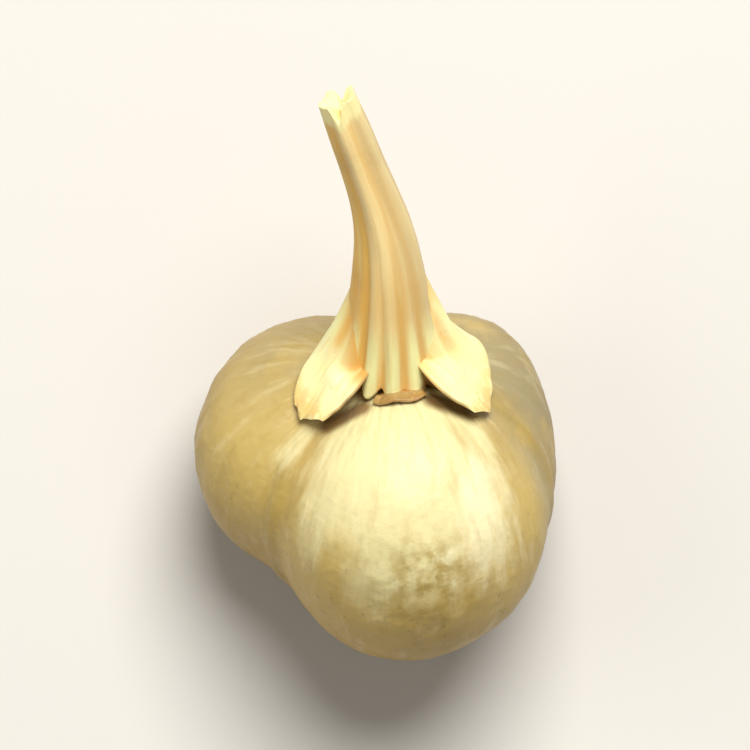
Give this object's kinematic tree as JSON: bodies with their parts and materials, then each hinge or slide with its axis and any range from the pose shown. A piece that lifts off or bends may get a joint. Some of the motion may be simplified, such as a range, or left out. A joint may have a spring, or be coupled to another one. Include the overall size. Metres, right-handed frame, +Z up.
{
  "type": "harmal seed capsule",
  "caption": "Dried seed capsule with rounded grooved lobes, a ribbed and flared stalk stub and torn sepals, lying on its side.",
  "frame": {"origin": "middle of the box's underside, on the surface that the capsule lies on", "axes": "+Z up, +Y the way the stalk points seen from above, +X to the right seen from above"},
  "size_m": [0.0092, 0.0144, 0.0114],
  "materials": {
    "husk": "dry papery husk with a satin sheen",
    "straw": "dry ribbed straw",
    "sepal": "dry thin leaf"
  },
  "bodies": {
    "root": {"capsule": "husk", "stalk": "straw", "sepal_front": "sepal", "sepal_left": "sepal", "sepal_right": "sepal", "sepal_back_left": "sepal", "sepal_back_right": "sepal"}
  },
  "joints": []
}
